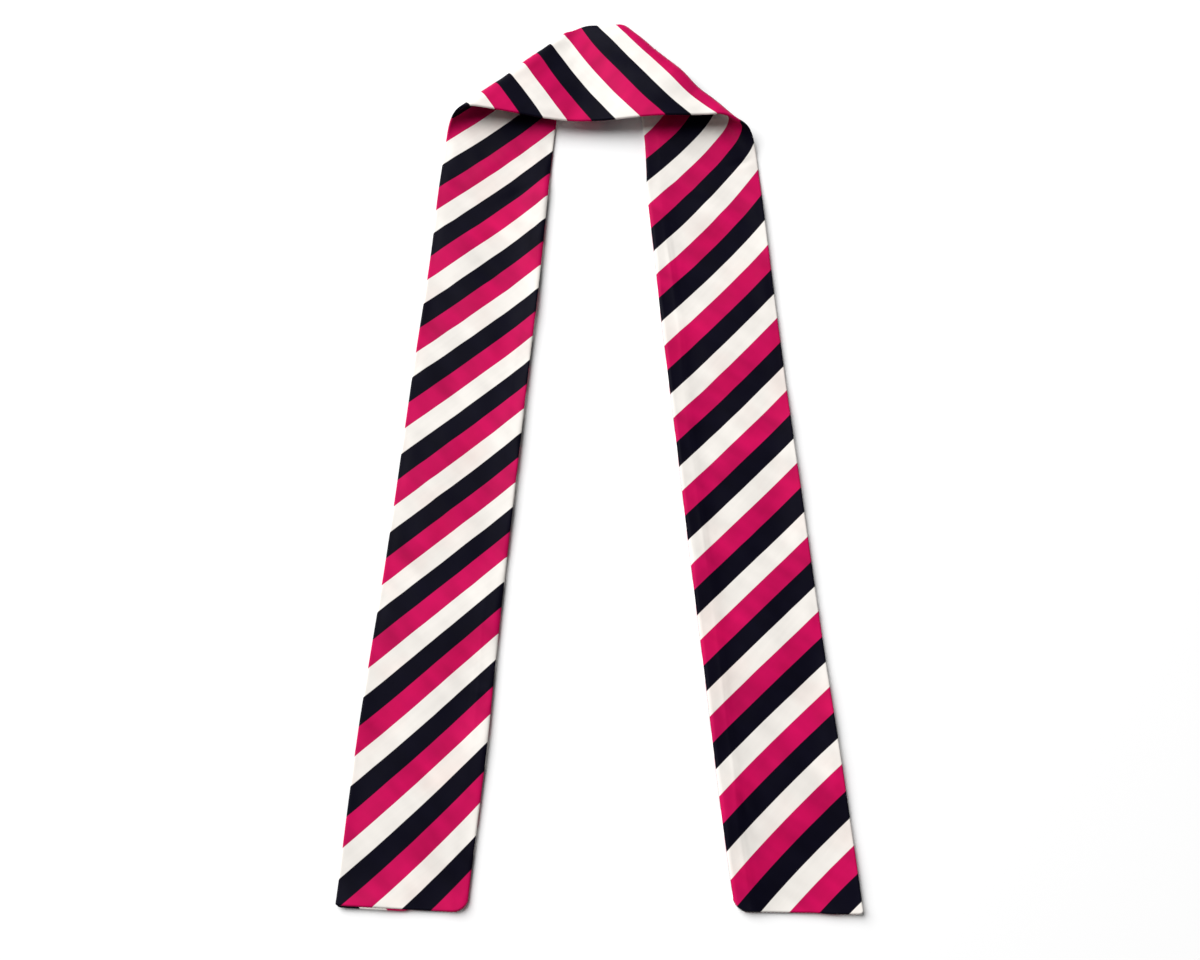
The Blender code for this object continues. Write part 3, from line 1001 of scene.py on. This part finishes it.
def stitch_tree():
    """Beads of thread at even steps along a path."""
    tree = bpy.data.node_groups.new("seam_stitching", "GeometryNodeTree")
    face = tree.interface
    face.new_socket("Geometry", in_out="INPUT", socket_type="NodeSocketGeometry")
    sizes = {}
    for label, value in STITCH_SIZES.items():
        sizes[label] = face.new_socket(label, in_out="INPUT", socket_type="NodeSocketFloat")
        sizes[label].default_value = value
    sizes["Thread"] = face.new_socket("Thread", in_out="INPUT",
                                      socket_type="NodeSocketMaterial")
    face.new_socket("Geometry", in_out="OUTPUT", socket_type="NodeSocketGeometry")
    nodes, links = tree.nodes, tree.links
    into, out = nodes.new("NodeGroupInput"), nodes.new("NodeGroupOutput")

    def node(kind, **settings):
        made = nodes.new(kind)
        for label, value in settings.items():
            setattr(made, label, value)
        return made

    def named(label):
        made = node("GeometryNodeInputNamedAttribute", data_type="FLOAT_VECTOR")
        made.inputs["Name"].default_value = label
        return made.outputs["Attribute"]

    curve = node("GeometryNodeMeshToCurve")
    links.new(into.outputs["Geometry"], curve.inputs["Mesh"])
    steps = node("GeometryNodeResampleCurve", mode="LENGTH")
    links.new(curve.outputs["Curve"], steps.inputs["Curve"])
    links.new(into.outputs["Spacing"], steps.inputs["Length"])
    ball = node("GeometryNodeMeshUVSphere")
    ball.inputs["Segments"].default_value = BEAD_SEGMENTS
    ball.inputs["Rings"].default_value = BEAD_RINGS
    ball.inputs["Radius"].default_value = 0.5
    size = node("ShaderNodeCombineXYZ")
    links.new(into.outputs["Stitch length"], size.inputs["X"])
    links.new(into.outputs["Thread thickness"], size.inputs["Y"])
    links.new(into.outputs["Thread thickness"], size.inputs["Z"])
    bead = node("GeometryNodeTransform")
    links.new(ball.outputs["Mesh"], bead.inputs["Geometry"])
    links.new(size.outputs[0], bead.inputs["Scale"])
    lie = node("FunctionNodeAlignRotationToVector", axis="X")
    links.new(named("thread_along"), lie.inputs["Vector"])
    stand = node("FunctionNodeAlignRotationToVector", axis="Z", pivot_axis="X")
    links.new(lie.outputs["Rotation"], stand.inputs["Rotation"])
    links.new(named("thread_out"), stand.inputs["Vector"])
    tilt = node("FunctionNodeRandomValue", data_type="FLOAT_VECTOR")
    tilt.inputs[0].default_value = (-0.05, -0.08, -0.10)
    tilt.inputs[1].default_value = (0.05, 0.08, 0.10)
    tilt.inputs["Seed"].default_value = 4
    uneven = node("FunctionNodeEulerToRotation")
    links.new(tilt.outputs[0], uneven.inputs["Euler"])
    turned = node("FunctionNodeRotateRotation", rotation_space="LOCAL")
    links.new(stand.outputs["Rotation"], turned.inputs["Rotation"])
    links.new(uneven.outputs["Rotation"], turned.inputs["Rotate By"])
    put = node("GeometryNodeInstanceOnPoints")
    links.new(steps.outputs["Curve"], put.inputs["Points"])
    links.new(bead.outputs["Geometry"], put.inputs["Instance"])
    links.new(turned.outputs["Rotation"], put.inputs["Rotation"])
    real = node("GeometryNodeRealizeInstances")
    links.new(put.outputs["Instances"], real.inputs["Geometry"])
    finish = node("GeometryNodeSetMaterial")
    links.new(real.outputs["Geometry"], finish.inputs["Geometry"])
    links.new(into.outputs["Thread"], finish.inputs["Material"])
    links.new(finish.outputs["Geometry"], out.inputs["Geometry"])
    return tree, {label: socket.identifier for label, socket in sizes.items()}


STITCHING, STITCH_SOCKETS = stitch_tree()
print("stitching tree has", len(STITCHING.nodes), "nodes")

# %% Thread and the finished stitches


def sewing_thread(name):
    """Deep magenta polyester thread with a fine twist."""
    material = bpy.data.materials.new(name)
    material.use_nodes = True
    nodes, links = material.node_tree.nodes, material.node_tree.links
    shader = nodes["Principled BSDF"]
    place = nodes.new("ShaderNodeTexCoord")
    twist = nodes.new("ShaderNodeTexWave")
    twist.bands_direction = "DIAGONAL"
    twist.inputs["Scale"].default_value = 900.0
    twist.inputs["Distortion"].default_value = 1.5
    links.new(place.outputs["Object"], twist.inputs["Vector"])
    tone = nodes.new("ShaderNodeTexNoise")
    tone.inputs["Scale"].default_value = 160.0
    links.new(place.outputs["Object"], tone.inputs["Vector"])
    ramp = nodes.new("ShaderNodeValToRGB")
    ramp.color_ramp.elements[0].color = (0.190, 0.004, 0.032, 1)
    ramp.color_ramp.elements[1].color = (0.420, 0.010, 0.080, 1)
    links.new(math_node(nodes, links, "MULTIPLY_ADD", twist.outputs["Fac"], 0.5,
                        math_node(nodes, links, "MULTIPLY", tone.outputs["Fac"], 0.5)),
              ramp.inputs["Fac"])
    links.new(ramp.outputs["Color"], shader.inputs["Base Color"])
    shader.inputs["Roughness"].default_value = 0.5
    shader.inputs["Specular IOR Level"].default_value = 0.10
    bump = nodes.new("ShaderNodeBump")
    bump.inputs["Strength"].default_value = 0.4
    bump.inputs["Distance"].default_value = 0.00003
    links.new(twist.outputs["Fac"], bump.inputs["Height"])
    links.new(bump.outputs["Normal"], shader.inputs["Normal"])
    return material


def sew(path):
    """Run the tree on the path and keep the result as a plain mesh."""
    run = path.modifiers.new("stitching", "NODES")
    run.node_group = STITCHING
    for label, size in STITCH_SIZES.items():
        run[STITCH_SOCKETS[label]] = size
    run[STITCH_SOCKETS["Thread"]] = sewing_thread("sewing_thread")
    ready = path.evaluated_get(bpy.context.evaluated_depsgraph_get())
    mesh = bpy.data.meshes.new_from_object(ready)
    mesh.name = "seam_stitches"
    thread = mesh.materials[-1]
    mesh.materials.clear()
    mesh.materials.append(thread)
    mesh.polygons.foreach_set("material_index", [0] * len(mesh.polygons))
    mesh.shade_smooth()
    piece = bpy.data.objects.new("seam_stitches", mesh)
    bpy.context.scene.collection.objects.link(piece)
    bpy.data.objects.remove(path)
    return piece


stitches = sew(stitch_line)
bead_points = BEAD_SEGMENTS * (BEAD_RINGS - 1) + 2
print("stitches", len(stitches.data.vertices) // bead_points, "with",
      len(stitches.data.polygons), "faces, material",
      [m.name for m in stitches.data.materials])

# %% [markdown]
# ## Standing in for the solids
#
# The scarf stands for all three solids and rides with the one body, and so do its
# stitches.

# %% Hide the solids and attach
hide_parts("left_tail", "neck_band", "right_tail")
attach(scarf, "root")
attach(stitches, "root")
